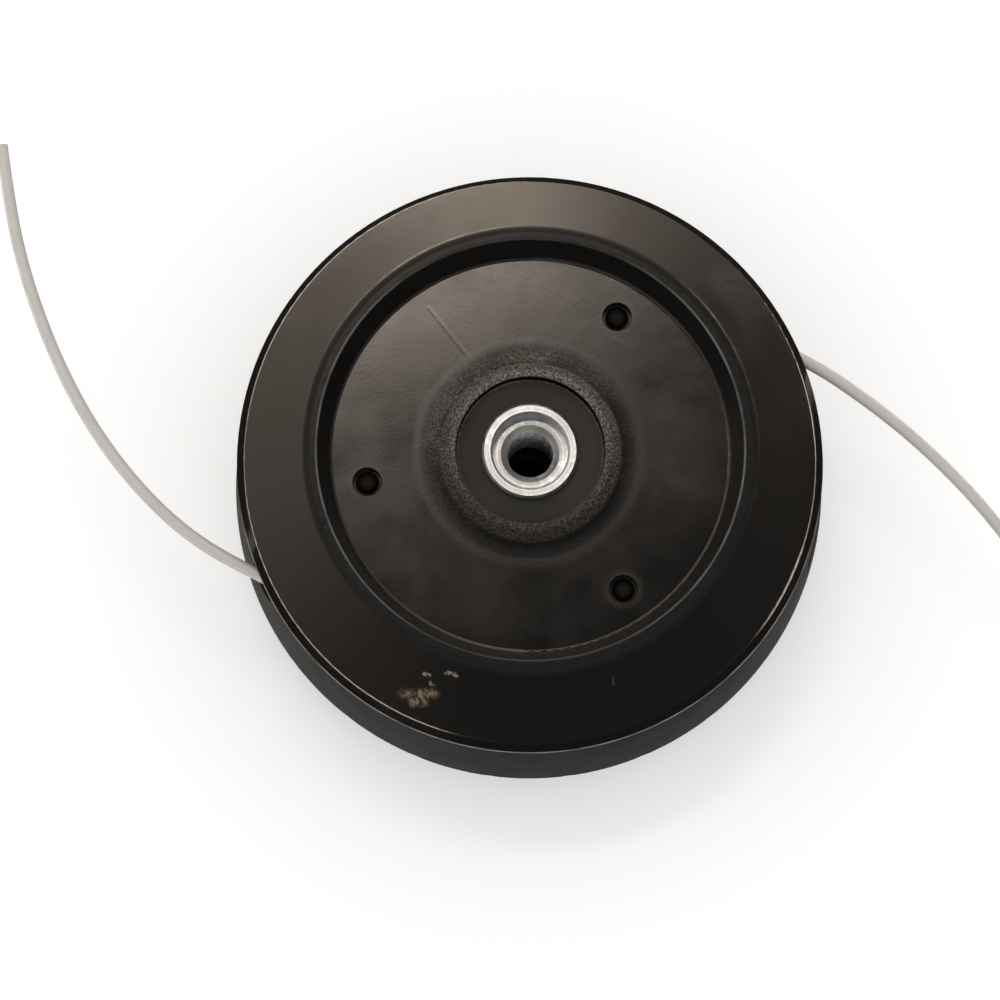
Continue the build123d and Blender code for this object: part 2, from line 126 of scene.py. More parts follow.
def flatCard(name, width, length, z=0.0):
    w, d = width / 2, length / 2
    mesh = bpy.data.meshes.new(name)
    mesh.from_pydata([(-w, -d, z), (w, -d, z), (w, d, z), (-w, d, z)], [], [(0, 1, 2, 3)])
    return bpy.data.objects.new(name, mesh)


def strengthAt(table, turn):
    for (first, low), (second, high) in zip(table, table[1:]):
        if first <= turn <= second:
            return low + (high - low) * (turn - first) / (second - first)


def setGlow():
    look = glowLook
    reach, lift = look["sheetReach"][1], look["lift"]
    still = ((0, look["table"]), (360, look["table"]))
    loops = (
        (look["tableReach"][0], lift, still),
        (look["tableReach"][1], lift, still),
        (look["sheetReach"][0], lift, look["sheet"]),
        (reach, lift, look["sheet"]),
        (reach + 0.001, 0.0005, look["horizon"]),
        (reach + 0.002, look["height"], look["horizon"]),
        (0.9 * reach, 1.8 * look["height"], look["above"]),
        (0.75 * reach, 2.5 * look["height"], look["above"]),
    )
    shell = bmesh.new()
    paint = shell.verts.layers.float_color.new("glow")
    made = []
    for radius, z, table in loops:
        ring = []
        for step in range(look["steps"]):
            turn = 360 * step / look["steps"]
            way = math.radians(turn)
            vert = shell.verts.new((radius * math.cos(way), radius * math.sin(way), z))
            vert[paint] = [strengthAt(table, turn) * part for part in look["tint"]] + [1]
            ring.append(vert)
        made.append(ring)
    for first, second in zip(made, made[1:]):
        for step in range(look["steps"]):
            after = (step + 1) % look["steps"]
            shell.faces.new((first[step], first[after], second[after], second[step]))
    mesh = bpy.data.meshes.new("glowRing")
    shell.to_mesh(mesh)
    shell.free()
    ring = bpy.data.objects.new("glowRing", mesh)
    scene.collection.objects.link(ring)
    lit, tree, shader = startFinish("glowPaint")
    shader.inputs["Base Color"].default_value = (0, 0, 0, 1)
    shader.inputs["Specular IOR Level"].default_value = 0
    shader.inputs["Emission Strength"].default_value = 1
    painted = addNode(tree, "ShaderNodeAttribute", attribute_name="glow")
    tree.links.new(painted.outputs["Color"], shader.inputs["Emission Color"])
    lit.cycles.emission_sampling = "NONE"
    mesh.materials.append(lit)
    onlyGloss(ring)


def onlyGloss(item):
    item.visible_camera = False
    item.visible_diffuse = False
    item.visible_transmission = False
    item.visible_shadow = False


def setStage():
    floor = flatCard("floor", stageLook["floorSize"], stageLook["floorSize"], -0.2 * mm)
    scene.collection.objects.link(floor)
    paper, tree, shader = startFinish("floorPaper")
    shader.inputs["Base Color"].default_value = stageLook["floorColour"]
    shader.inputs["Roughness"].default_value = 0.9
    shader.inputs["Specular IOR Level"].default_value = 0
    shader.inputs["Emission Color"].default_value = (1, 1, 1, 1)
    lift = calc(tree, "MULTIPLY", seenRays(tree), stageLook["floorLift"])
    tree.links.new(lift, shader.inputs["Emission Strength"])
    floor.data.materials.append(paper)

    card = flatCard("shadeCard", *shadeCard["size"])
    felt, tree, shader = startFinish("cardFelt")
    shader.inputs["Base Color"].default_value = (shadeCard["grey"],) * 3 + (1,)
    shader.inputs["Roughness"].default_value = 1
    shader.inputs["Specular IOR Level"].default_value = 0
    card.data.materials.append(felt)
    standAt(card, shadeCard)
    onlyGloss(card)
    setGlow()

    world = bpy.data.worlds.new("surround")
    scene.world = world
    world.use_nodes = True
    tree = world.node_tree
    sky = tree.nodes["Background"]
    sky.inputs["Color"].default_value = (1, 1, 1, 1)
    around = stageLook["surround"]
    strength = calc(tree, "MULTIPLY_ADD", seenRays(tree), 1 - around, around)
    tree.links.new(strength, sky.inputs["Strength"])

    for name, look in lamps.items():
        light = bpy.data.lights.new(name, "AREA")
        light.shape = "RECTANGLE"
        light.size, light.size_y = look["size"]
        light.energy = look["power"]
        light.color = look["colour"]
        lamp = bpy.data.objects.new(name, light)
        standAt(lamp, look)

    camera = bpy.data.objects.new("camera", bpy.data.cameras.new("camera"))
    camera.data.lens = stageLook["lens"]
    camera.data.clip_start = 0.01
    place = Vector(stageLook["cameraPlace"]) * mm
    aim = Vector(stageLook["cameraAim"]) * mm
    camera.location = place
    camera.rotation_euler = (aim - place).to_track_quat("-Z", "Y").to_euler()
    scene.collection.objects.link(camera)
    scene.camera = camera
    print("stage set")


# Small helpers for node trees
def startFinish(name):
    finish = bpy.data.materials.new(name)
    finish.use_nodes = True
    return finish, finish.node_tree, finish.node_tree.nodes["Principled BSDF"]


def addNode(tree, kind, inputs=None, **settings):
    made = tree.nodes.new(kind)
    for key, value in settings.items():
        setattr(made, key, value)
    for key, value in (inputs or {}).items():
        if isinstance(value, bpy.types.NodeSocket):
            tree.links.new(value, made.inputs[key])
        else:
            made.inputs[key].default_value = value
    return made


def calc(tree, operation, *values):
    made = tree.nodes.new("ShaderNodeMath")
    made.operation = operation
    for socket, value in zip(made.inputs, values):
        if isinstance(value, bpy.types.NodeSocket):
            tree.links.new(value, socket)
        else:
            socket.default_value = value
    return made.outputs[0]


def seenRays(tree):
    # 1 for what the camera, gloss and clear pieces see
    path = addNode(tree, "ShaderNodeLightPath")
    seen = calc(tree, "MAXIMUM", path.outputs["Is Camera Ray"], path.outputs["Is Glossy Ray"])
    return calc(tree, "MAXIMUM", seen, path.outputs["Is Transmission Ray"])


def ramp(tree, value, low, high, toLow=0.0, toHigh=1.0):
    made = addNode(tree, "ShaderNodeMapRange", {"Value": value, "From Min": low, "From Max": high})
    made.inputs["To Min"].default_value = toLow
    made.inputs["To Max"].default_value = toHigh
    made.interpolation_type = "SMOOTHSTEP"
    return made.outputs[0]


def mixColour(tree, share, first, second):
    made = addNode(tree, "ShaderNodeMix", data_type="RGBA")
    for socket, value in ((made.inputs[0], share), (made.inputs[6], first), (made.inputs[7], second)):
        if isinstance(value, bpy.types.NodeSocket):
            tree.links.new(value, socket)
        else:
            socket.default_value = value
    return made.outputs[2]


def noise(tree, place, scale, detail=3.0, rough=0.55):
    inputs = {"Vector": place, "Scale": scale, "Detail": detail, "Roughness": rough}
    return addNode(tree, "ShaderNodeTexNoise", inputs).outputs[0]


def bumpOn(tree, height, depth, below=None):
    made = addNode(tree, "ShaderNodeBump", {"Height": height, "Distance": depth, "Strength": 1})
    if below is not None:
        tree.links.new(below, made.inputs["Normal"])
    return made.outputs[0]


def rings(tree):
    # object place, distance from the spindle axis, and height, all in metres
    place = addNode(tree, "ShaderNodeTexCoord").outputs["Object"]
    parts = addNode(tree, "ShaderNodeSeparateXYZ", {"Vector": place})
    x, y, z = parts.outputs
    squares = calc(tree, "ADD", calc(tree, "MULTIPLY", x, x), calc(tree, "MULTIPLY", y, y))
    return place, calc(tree, "SQRT", squares), z


def band(tree, value, low, high, soft):
    # 1 between low and high, fading over soft on both sides
    rise = ramp(tree, value, low - soft, low)
    fall = ramp(tree, value, high, high + soft, 1.0, 0.0)
    return calc(tree, "MULTIPLY", rise, fall)


def stroke(tree, place, start, end, core, edge):
    # mask along a straight mark from start to end, in millimetres
    start, end = Vector(start) * mm, Vector(end) * mm
    length = (end - start).length
    way = (end - start).normalized()
    kind = "ShaderNodeVectorMath"
    rel = addNode(tree, kind, {0: place, 1: start}, operation="SUBTRACT").outputs[0]
    run = addNode(tree, kind, {0: rel, 1: way}, operation="DOT_PRODUCT").outputs["Value"]
    run = calc(tree, "MINIMUM", calc(tree, "MAXIMUM", run, 0.0), length)
    foot = addNode(tree, kind, {0: way, "Scale": run}, operation="SCALE").outputs[0]
    gap = addNode(tree, kind, {0: rel, 1: foot}, operation="DISTANCE").outputs["Value"]
    return ramp(tree, gap, core * mm, edge * mm, 1.0, 0.0)


def most(tree, masks):
    total = masks[0]
    for mask in masks[1:]:
        total = calc(tree, "MAXIMUM", total, mask)
    return total


def times(tree, *masks):
    total = masks[0]
    for mask in masks[1:]:
        total = calc(tree, "MULTIPLY", total, mask)
    return total


def wear(node, finish):
    cad[node].data.materials.clear()
    cad[node].data.materials.append(finish)


# Housing: black moulded nylon, semi-gloss, with a rough collar and rubbed places, and painted light:
# highlights on the lip crest and the rim's lower corner, a sheen in the dust on the collar and skirt,
# shade in the gate grooves and on the pocket wall
housingLook = {
    "dark": (0.0052, 0.005, 0.0048, 1),
    "light": (0.0085, 0.008, 0.0075, 1),
    "gloss": 0.375,
    "roughness": 0.125,
    "skirtRoughness": 0.62,
    # dust with a painted sheen on the skirt
    "skirtDustAndSheen": (0.03, 0.0288, 0.0275, 1),
    "skirtTop": 45.6 * mm,
    "aboveRim": (52 * mm, 53 * mm),
    "dishFloor": 54.1,
    "dishTop": 54.4 * mm,
    "dishReach": 39.5 * mm,
    "grain": 0.004 * mm,
    "wave": 0.045 * mm,
    "pocket": 14.3 * mm,
    "pocketDust": (0.026, 0.0245, 0.023, 1),
    "pocketWall": (13.9 * mm, 14.45 * mm),
    "pocketWallRise": (56 * mm, 58 * mm),
    "collar": (14.6 * mm, 17.2 * mm),
    # dust with a painted sheen on the collar and its flank
    "collarDustAndSheen": (0.26, 0.228, 0.198, 1),
    "collarGrain": 0.16 * mm,
    "foot": 23.5 * mm,  # dust, its painted sheen and roughness fade out here
    "lip": (41.3 * mm, 43.9 * mm),
    "crest": (41.0 * mm, 41.32 * mm),
    # painted highlight on the lip's inner crest
    "crestHighlight": (0.13, 0.127, 0.121, 1),
    "lipWear": (0.02, 0.019, 0.0175, 1),
    # painted shade in the gate grooves and on the pocket wall
    "hole": (0.0035, 0.0034, 0.0032, 1),
    "gateNub": (0.014, 0.0135, 0.0125, 1),
    "haze": (0.03, 0.025, 0.0205, 1),
    "hazes": (((-27, -15, 54.1), (-16, -27, 54.1)), ((31, 2, 54.1), (29, -6, 54.1))),
    # painted highlight along the rim's lower corner
    "rimCornerHighlight": (0.3, 0.29, 0.28, 1),
    "rimCorner": 46.0 * mm,
    "gateEdge": (2.7 * mm, 3.0 * mm),
    "gates": ((16.96, 27.14), (-31.51, -5.56), (17.89, -26.53)),
    "scuffTan": (0.24, 0.168, 0.095, 1),
    "scuffPale": (0.2, 0.185, 0.168, 1),
    "tanMarks": (
        ((-24.4, -46.5, 52.3), (-18.6, -46.8, 54.2)),
        ((-22.6, -48.0, 51.6), (-20.6, -48.0, 52.5)),
    ),
    "paleMarks": (
        ((-20.4, -43.2, 56.5), (-19.4, -43.5, 56.7)),
        ((-19.0, -44.9, 55.6), (-18.7, -45.3, 55.4)),
        ((-16.1, -43.3, 58.0), (-15.3, -43.2, 58.3)),
        ((-14.5, -43.5, 58.2), (-14.2, -43.9, 58.0)),
    ),
    "weldLine": ((-19.7, 28.9, 54.1), (-10.7, 17.5, 54.1)),
    "scratch": ((15.7, -44.1, 57.4), (15.8, -45.4, 56.2)),
    "scrape": ((16.0, 22.9, 54.1), (18.1, 22.3, 54.1)),
    "nick": ((38.4, 34.7, 53.0), (40.5, 34.6, 51.7)),
    # how far each zone loses its polish and its gloss
    "dull": {"collar": 1.0, "flank": 1.0, "pocket": 0.8, "hole": 1.0, "lip": 0.2},
    "plain": {
        "hole": 0.96, "skirt": 0.68, "lip": 0.8, "collar": 0.6,
        "flank": 0.6, "pocket": 0.4, "nick": 0.5,
    },
}


def housingZones(tree, place, radius, height, sideways, upwards):
    # each zone is a mask from 0 to 1
    look = housingLook
    aboveRim = ramp(tree, height, *look["aboveRim"])
    pocketEdge = (look["pocket"], look["pocket"] + 0.3 * mm)
    fromGate = None
    for x, y in look["gates"]:
        spot = Vector((x, y, look["dishFloor"])) * mm
        apart = addNode(tree, "ShaderNodeVectorMath", {0: place, 1: spot}, operation="DISTANCE")
        gap = apart.outputs["Value"]
        fromGate = gap if fromGate is None else calc(tree, "MINIMUM", fromGate, gap)
    gate = ramp(tree, fromGate, *look["gateEdge"], 1, 0)
    pocketWall = times(
        tree,
        band(tree, radius, *look["pocketWall"], 0.1 * mm),
        band(tree, height, *look["pocketWallRise"], 0.2 * mm),
    )
    return {
        "collar": times(tree, band(tree, radius, *look["collar"], 1.0 * mm), aboveRim),
        "flank": times(
            tree,
            ramp(tree, radius, look["collar"][1], look["foot"], 1, 0),
            ramp(tree, radius, *pocketEdge),
            aboveRim,
        ),
        "pocket": times(tree, ramp(tree, radius, *pocketEdge, 1, 0), aboveRim),
        "lip": times(
            tree,
            band(tree, radius, *look["lip"], 0.5 * mm),
            ramp(tree, height, 59.6 * mm, 60.3 * mm),
        ),
        # painted highlight along the lip's inner crest, brightest at the left and right sides, broken up
        # with noise
        "crest": times(
            tree,
            band(tree, radius, *look["crest"], 0.08 * mm),
            ramp(tree, height, 60.2 * mm, 60.4 * mm),
            ramp(tree, noise(tree, place, 130, 3), 0.3, 0.6, 0.4, 1),
            ramp(tree, calc(tree, "ABSOLUTE", sideways), 15 * mm, 38 * mm, 0.25, 1),
        ),
        # painted highlight along the rim's lower corner, only on the lower side, broken up with noise
        "corner": times(
            tree,
            band(tree, height, look["rimCorner"], look["rimCorner"] + 0.5 * mm, 0.12 * mm),
            ramp(tree, radius, 57.0 * mm, 57.2 * mm),
            ramp(tree, upwards, -16 * mm, -4 * mm, 1, 0),
            ramp(tree, noise(tree, place, 160, 3), 0.3, 0.6, 0.35, 1),
        ),
        "dish": times(
            tree,
            band(tree, height, 53 * mm, look["dishTop"], 0.4 * mm),
            ramp(tree, radius, look["dishReach"], look["dishReach"] + 0.5 * mm, 1, 0),
        ),
        # painted shade: the gate grooves and a band on the pocket wall, darker and almost without gloss
        "hole": calc(tree, "MAXIMUM", gate, pocketWall),
        "nub": ramp(tree, fromGate, 0.6 * mm, 1.9 * mm, 1, 0),
        "halo": band(tree, fromGate, 2.9 * mm, 3.1 * mm, 1.2 * mm),
        "skirt": ramp(tree, height, look["skirtTop"] - 0.2 * mm, look["skirtTop"] + 0.2 * mm, 1, 0),
        "nick": stroke(tree, place, *look["nick"], 0.1, 0.8),
        "scratch": stroke(tree, place, *look["scratch"], 0.03, 0.16),
        "scrape": stroke(tree, place, *look["scrape"], 0.1, 0.4),
    }


def housingMarks(tree, place):
    # tan and pale scuffs, broken up along their way
    look = housingLook
    turned = {"Vector": place, "Rotation": (0, 0, 0.5), "Scale": (1, 0.4, 1)}
    streak = addNode(tree, "ShaderNodeMapping", turned).outputs[0]
    flecks = ramp(tree, noise(tree, streak, 900, 6, 0.7), 0.36, 0.74)
    grit = ramp(tree, noise(tree, place, 1900, 3), 0.42, 0.6)
    tan = most(tree, [stroke(tree, place, *ends, 0.2, 1.7) for ends in look["tanMarks"]])
    pale = most(tree, [stroke(tree, place, *ends, 0.1, 0.65) for ends in look["paleMarks"]])
    return times(tree, tan, flecks), times(tree, pale, grit)


def housingColour(tree, place, sideways, upwards, zone, tan, pale):
    look = housingLook
    cloudy = noise(tree, place, 48, 4)
    speckle = noise(tree, place, 2300, 3, 0.65)
    # dust on the collar and its flank, with a painted sheen: brighter towards the top and the upper
    # left, where the window light falls
    sheenSide = ramp(tree, calc(tree, "SUBTRACT", upwards, sideways), -14 * mm, 26 * mm, 0.25, 1)
    patchy = times(tree, sheenSide, ramp(tree, noise(tree, place, 170, 4, 0.6), 0.35, 0.65, 0.45, 1.0))
    dustAndSheen = times(
        tree,
        calc(tree, "MAXIMUM", zone["collar"], times(tree, zone["flank"], patchy)),
        ramp(tree, speckle, 0.38, 0.7, 0.12, 0.95),
        ramp(tree, upwards, -17 * mm, 17 * mm, 0.3, 1.0),
    )
    grime = ramp(tree, noise(tree, place, 1000, 4, 0.6), 0.3, 0.75, 0.0, 0.5)
    # dust on the skirt with a painted sheen: heavier towards the left, where the skirt is lit more
    dustAndSheenOnSkirt = times(tree, zone["skirt"], grime, ramp(tree, sideways, -50 * mm, -10 * mm, 1, 0.35))
    thin = most(tree, [times(tree, zone["scratch"], 0.22), times(tree, zone["scrape"], 0.12)])
    coats = [(times(tree, zone["pocket"], ramp(tree, cloudy, 0.3, 0.6, 0.5, 1)), look["pocketDust"])]
    for ends in look["hazes"]:
        thinned = ramp(tree, cloudy, 0.3, 0.7, 0.3, 0.8)
        coats.append((times(tree, stroke(tree, place, *ends, 1.0, 15.0), thinned), look["haze"]))
    coats += [
        # collar dust with a painted sheen towards the lit upper left
        (dustAndSheen, look["collarDustAndSheen"]),
        (times(tree, zone["lip"], ramp(tree, speckle, 0.3, 0.7, 0.3, 0.9)), look["lipWear"]),
        (times(tree, zone["halo"], ramp(tree, cloudy, 0.35, 0.65, 0.3, 1)), look["haze"]),
        # painted shade in the gate grooves and on the pocket wall, with the gate nub lighter inside
        (zone["hole"], mixColour(tree, zone["nub"], look["hole"], look["gateNub"])),
        # painted highlight on the lip crest
        (zone["crest"], look["crestHighlight"]),
        # painted highlight on the rim's lower corner
        (zone["corner"], look["rimCornerHighlight"]),
        # skirt dust with a painted sheen towards the left
        (dustAndSheenOnSkirt, look["skirtDustAndSheen"]),
        (tan, look["scuffTan"]),
        (pale, look["scuffPale"]),
        (thin, look["scuffPale"]),
    ]
    colour = mixColour(tree, cloudy, look["dark"], look["light"])
    for share, coat in coats:
        colour = mixColour(tree, share, colour, coat)
    return colour


def housingBumps(tree, place, zone, marks):
    # grain, slow waves from the mould, the rough collar, weld line and damage
    look = housingLook
    shares = [zone["collar"], times(tree, zone["flank"], 0.5), times(tree, zone["pocket"], 0.2)]
    coarse = times(tree, noise(tree, place, 1400, 5, 0.7), most(tree, shares))
    bumps = (
        (noise(tree, place, 1500, 3), look["grain"]),
        (noise(tree, place, 62, 2), look["wave"]),
        (coarse, look["collarGrain"]),
        (times(tree, noise(tree, place, 900, 4), zone["skirt"]), 0.08 * mm),
        (stroke(tree, place, *look["weldLine"], 0.05, 0.6), 0.01 * mm),
        (marks, 0.06 * mm),
        (times(tree, zone["lip"], noise(tree, place, 380, 3)), 0.05 * mm),
        (times(tree, zone["scratch"], -1), 0.09 * mm),
    )
    normal = None
    for height, depth in bumps:
        normal = bumpOn(tree, height, depth, normal)
    return normal


def housingFinish():
    look = housingLook
    finish, tree, shader = startFinish("housingNylon")
    place, radius, height = rings(tree)
    sideways, upwards, _ = addNode(tree, "ShaderNodeSeparateXYZ", {"Vector": place}).outputs
    zone = housingZones(tree, place, radius, height, sideways, upwards)
    tan, pale = housingMarks(tree, place)
    marks = calc(tree, "MAXIMUM", tan, pale)
    colour = housingColour(tree, place, sideways, upwards, zone, tan, pale)
    tree.links.new(colour, shader.inputs["Base Color"])

    # polish: sharpest on the crown, softer in the dish, dull on the skirt and the rough places
    smooth = look["roughness"]
    rough = ramp(tree, noise(tree, place, 120, 4), 0.3, 0.7, smooth - 0.02, smooth + 0.03)
    rough = calc(tree, "MULTIPLY_ADD", zone["dish"], 0.05, rough)
    rough = calc(tree, "MULTIPLY_ADD", zone["skirt"], look["skirtRoughness"] - smooth, rough)
    dull = [times(tree, zone[name], share) for name, share in look["dull"].items()]
    rough = calc(tree, "MULTIPLY_ADD", most(tree, dull + [marks]), 0.45, rough)
    tree.links.new(rough, shader.inputs["Roughness"])
    plain = most(tree, [times(tree, zone[name], share) for name, share in look["plain"].items()])
    gloss = calc(tree, "MULTIPLY_ADD", plain, -look["gloss"], look["gloss"])
    tree.links.new(gloss, shader.inputs["Specular IOR Level"])
    tree.links.new(housingBumps(tree, place, zone, marks), shader.inputs["Normal"])
    return finish


# Insert: turned aluminium with fine rings and a cut left-hand thread
insertLook = {
    "metal": (0.72, 0.76, 0.8, 1),
    "stain": (0.26, 0.28, 0.3, 1),
    "roughness": 0.3,
    "ringPitch": 0.16 * mm,
    "ringDepth": 0.003 * mm,
    "radius": 9.3,
    "band": 4.0,
    "groove": 4.0,
    "grooveDepth": 1.7,
    "faceBevel": 0.4,
    "pilotRadius": 7.3,
    "pilotDepth": 3.4,
    "mouthRadius": 5.7,
    "mouthDepth": 1.2,
    "threadRadius": 4.4,
    "threadDepth": 0.68,
    "pitch": 1.25,
    "rowsPerTurn": 16,
    "facets": 128,
}


def insertFinish():
    look = insertLook
    finish, tree, shader = startFinish("insertAluminium")
    place, radius, height = rings(tree)
    shader.inputs["Metallic"].default_value = 1
    cuts = addNode(tree, "ShaderNodeCombineXYZ", {"X": radius, "Y": calc(tree, "MULTIPLY", height, 0.5)})
    stain = ramp(tree, noise(tree, cuts.outputs[0], 1900, 4, 0.6), 0.38, 0.68)
    stain = calc(tree, "MULTIPLY", stain, 0.6)
    stain = calc(tree, "MULTIPLY_ADD", noise(tree, place, 420, 4), 0.4, stain)
    tree.links.new(mixColour(tree, stain, look["metal"], look["stain"]), shader.inputs["Base Color"])
    turned = calc(tree, "SINE", calc(tree, "MULTIPLY", radius, 2 * math.pi / look["ringPitch"]))
    polish = look["roughness"]
    rough = ramp(tree, noise(tree, place, 700, 3), 0.3, 0.7, polish - 0.05, polish + 0.1)
    tree.links.new(rough, shader.inputs["Roughness"])
    normal = bumpOn(tree, turned, look["ringDepth"])
    normal = bumpOn(tree, noise(tree, place, 500, 3), 0.008 * mm, normal)
    tree.links.new(normal, shader.inputs["Normal"])
    return finish


def turnInsert(finish):
    # lathe outline from the lower end of the bore, outside and over the face, back down to the thread
    look = insertLook
    low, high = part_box("threaded_insert")
    bottom, top = low[2] / mm, high[2] / mm
    full = look["radius"]
    neck = full - look["grooveDepth"]
    outline = [(look["threadRadius"], bottom), (full, bottom)]
    z = bottom
    for step in range(2):
        z += look["band"]
        outline += [(full, z), (neck, z)]
        z += look["groove"]
        outline += [(neck, z), (full, z)]
    bevel = look["faceBevel"]
    step = top - look["pilotDepth"]
    outline += [
        (full, top - bevel),
        (full - bevel, top),
        (look["pilotRadius"] + bevel, top),
        (look["pilotRadius"], top - bevel),
        (look["pilotRadius"], step),
        (look["mouthRadius"], step),
    ]
    threadTop = step - look["mouthDepth"]
    rows = round((threadTop - bottom) / look["pitch"] * look["rowsPerTurn"])
    mouthRows = round(look["mouthDepth"] / look["pitch"] * look["rowsPerTurn"])
    shell = bmesh.new()
    loops = []
    facets = look["facets"]

    def addLoop(radiusAt, z):
        ring = []
        for facet in range(facets):
            turn = 2 * math.pi * facet / facets
            r = radiusAt(turn, z)
            ring.append(shell.verts.new((r * math.cos(turn) * mm, r * math.sin(turn) * mm, z * mm)))
        loops.append(ring)

    def threadAt(turn, z):
        # left-hand V groove, faded out at both ends of the wall and cut into the mouth's cone
        phase = (z / look["pitch"] + turn / (2 * math.pi)) % 1.0
        cut = look["threadDepth"] * max(0.0, 1 - abs(phase - 0.5) / 0.44)
        cone = look["threadRadius"]
        if z > threadTop:
            share = (z - threadTop) / look["mouthDepth"]
            cone += share * (look["mouthRadius"] - look["threadRadius"])
        ends = min(1.0, (z - bottom) / 0.5)
        return max(cone, look["threadRadius"] + cut * max(0.0, ends))

    for r, z in outline:
        addLoop(lambda turn, z, r=r: r, z)
    for row in range(1, mouthRows + rows):
        z = step - (step - bottom) * row / (mouthRows + rows)
        addLoop(threadAt, z)
    for first, second in zip(loops, loops[1:] + loops[:1]):
        for facet in range(facets):
            after = (facet + 1) % facets
            shell.faces.new((first[facet], first[after], second[after], second[facet]))
    bmesh.ops.recalc_face_normals(shell, faces=shell.faces)
    mesh = bpy.data.meshes.new("turnedInsert")
    shell.to_mesh(mesh)
    shell.free()
    for face in mesh.polygons:
        face.use_smooth = True
    mesh.set_sharp_from_angle(angle=math.radians(30))
    insert = bpy.data.objects.new("turnedInsert", mesh)
    insert.data.materials.append(finish)
    scene.collection.objects.link(insert)
    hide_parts("threaded_insert")
    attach(insert, "housing")
    print("insert turned:", len(mesh.polygons), "faces")


# Bottom cover: the same nylon, duller, scuffed where it meets the ground's grit
coverLook = {
    "dark": (0.009, 0.009, 0.009, 1),
    "light": (0.017, 0.0168, 0.0165, 1),
    "dust": (0.06, 0.057, 0.052, 1),
    "roughness": 0.42,
    "gloss": 0.25,
    "scuffedBelow": 12.5 * mm,
}


def coverFinish():
    look = coverLook
    finish, tree, shader = startFinish("coverNylon")
    place, radius, height = rings(tree)
    colour = mixColour(tree, noise(tree, place, 60, 4), look["dark"], look["light"])
    scuffed = ramp(tree, height, look["scuffedBelow"] - 2.5 * mm, look["scuffedBelow"], 1, 0)
    sway = calc(tree, "MULTIPLY", noise(tree, place, 90, 2), 0.02)
    swirl = addNode(tree, "ShaderNodeCombineXYZ", {"X": radius, "Y": sway})
    rubbed = ramp(tree, noise(tree, swirl.outputs[0], 900, 3), 0.5, 0.7)
    rubbed = calc(tree, "MULTIPLY", rubbed, scuffed)
    colour = mixColour(tree, calc(tree, "MULTIPLY", rubbed, 0.6), colour, look["dust"])
    tree.links.new(colour, shader.inputs["Base Color"])
    polish = look["roughness"]
    rough = ramp(tree, noise(tree, place, 150, 4), 0.3, 0.7, polish - 0.05, polish + 0.08)
    tree.links.new(calc(tree, "MULTIPLY_ADD", rubbed, 0.2, rough), shader.inputs["Roughness"])
    shader.inputs["Specular IOR Level"].default_value = look["gloss"]
    normal = bumpOn(tree, noise(tree, place, 1300, 4), 0.02 * mm)
    normal = bumpOn(tree, rubbed, 0.03 * mm, normal)
    tree.links.new(normal, shader.inputs["Normal"])
    return finish


# Knob: hard nylon, its flat rubbed grey by the ground
knobLook = {
    "dark": (0.008, 0.008, 0.008, 1),
    "light": (0.014, 0.014, 0.0138, 1),
    "rubbed": (0.085, 0.082, 0.077, 1),
    "roughness": 0.36,
    "gloss": 0.3,
    "rubHeight": 1.6 * mm,
}


def knobFinish():
    look = knobLook
    finish, tree, shader = startFinish("knobNylon")
    place, radius, height = rings(tree)
    colour = mixColour(tree, noise(tree, place, 70, 4), look["dark"], look["light"])
    flat = ramp(tree, height, 0.1 * mm, look["rubHeight"], 1, 0)
    sway = calc(tree, "MULTIPLY", noise(tree, place, 60, 2), 0.015)
    arcs = addNode(tree, "ShaderNodeCombineXYZ", {"X": radius, "Y": sway})
    lines = ramp(tree, noise(tree, arcs.outputs[0], 1600, 4), 0.42, 0.68)
    rubbed = calc(tree, "MULTIPLY", flat, calc(tree, "MULTIPLY_ADD", lines, 0.7, 0.3))
    colour = mixColour(tree, rubbed, colour, look["rubbed"])
    tree.links.new(colour, shader.inputs["Base Color"])
    polish = look["roughness"]
    rough = ramp(tree, noise(tree, place, 160, 4), 0.3, 0.7, polish - 0.05, polish + 0.08)
    tree.links.new(calc(tree, "MULTIPLY_ADD", rubbed, 0.3, rough), shader.inputs["Roughness"])
    shader.inputs["Specular IOR Level"].default_value = look["gloss"]
    normal = bumpOn(tree, noise(tree, place, 1200, 4), 0.015 * mm)
    normal = bumpOn(tree, calc(tree, "MULTIPLY", lines, flat), -0.06 * mm, normal)
    tree.links.new(normal, shader.inputs["Normal"])
    return finish


# Spool: smooth dark nylon with faint flow rings
spoolLook = {
    "dark": (0.014, 0.014, 0.014, 1),
    "light": (0.024, 0.024, 0.0235, 1),
    "roughness": 0.32,
    "gloss": 0.3,
}


def spoolFinish():
    look = spoolLook
    finish, tree, shader = startFinish("spoolNylon")
    place, radius, height = rings(tree)
    colour = mixColour(tree, noise(tree, place, 50, 3), look["dark"], look["light"])
    tree.links.new(colour, shader.inputs["Base Color"])
    polish = look["roughness"]
    rough = ramp(tree, noise(tree, place, 130, 4), 0.3, 0.7, polish - 0.06, polish + 0.08)
    tree.links.new(rough, shader.inputs["Roughness"])
    shader.inputs["Specular IOR Level"].default_value = look["gloss"]
    flow = calc(tree, "SINE", calc(tree, "MULTIPLY", radius, 2 * math.pi / (2.2 * mm)))
    normal = bumpOn(tree, flow, 0.006 * mm)
    normal = bumpOn(tree, noise(tree, place, 1100, 3), 0.012 * mm, normal)
    tree.links.new(normal, shader.inputs["Normal"])
    return finish


